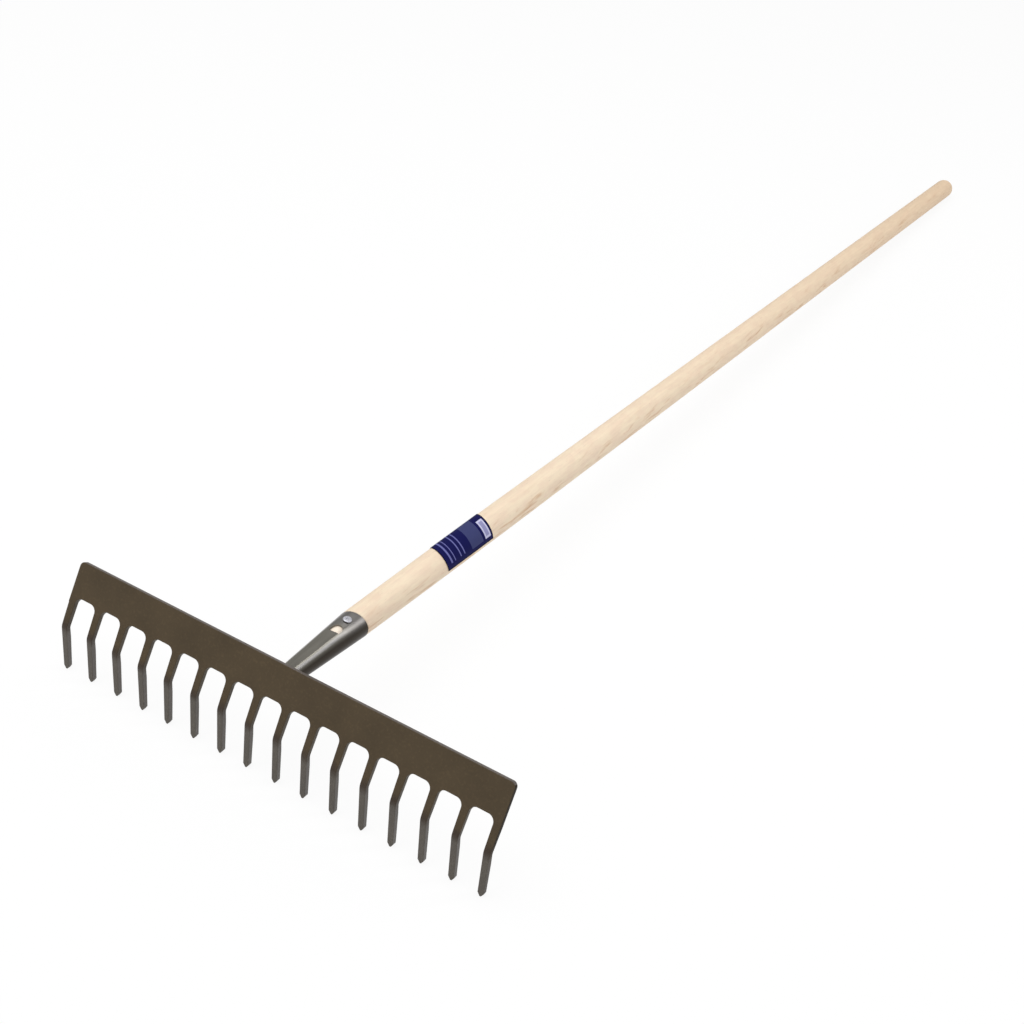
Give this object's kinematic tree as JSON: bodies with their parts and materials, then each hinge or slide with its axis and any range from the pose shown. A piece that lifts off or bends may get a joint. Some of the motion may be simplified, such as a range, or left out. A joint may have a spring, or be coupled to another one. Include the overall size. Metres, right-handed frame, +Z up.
{
  "type": "garden rake",
  "caption": "Garden rake: a stamped steel head with bent teeth, a rolled cone socket welded to its back and a long round wooden handle.",
  "frame": {"origin": "middle of the rake's length and width, on the plane that its teeth and the far end of its handle stand on", "axes": "+X along the head, +Y from the head to the far end of the handle, +Z up with the teeth pointing down"},
  "size_m": [0.4236, 1.5566, 0.0943],
  "materials": {
    "head_steel": "olive-brown stoving lacquer over stamped steel, satin, worn grey on the teeth",
    "socket_steel": "thin grey-green lacquer over rolled sheet steel, satin to glossy",
    "weld_steel": "lacquered weld bead",
    "zinc": "bright zinc plating",
    "wood": "pale planed hardwood, unvarnished, fine brown grain",
    "label_paper": "navy printed label with plain pale panels, no lettering"
  },
  "bodies": {
    "root": {"rake_head": "head_steel", "socket": "socket_steel", "socket_weld": "weld_steel", "handle_screw": "zinc", "handle": "wood", "handle_label": "label_paper"}
  },
  "joints": []
}
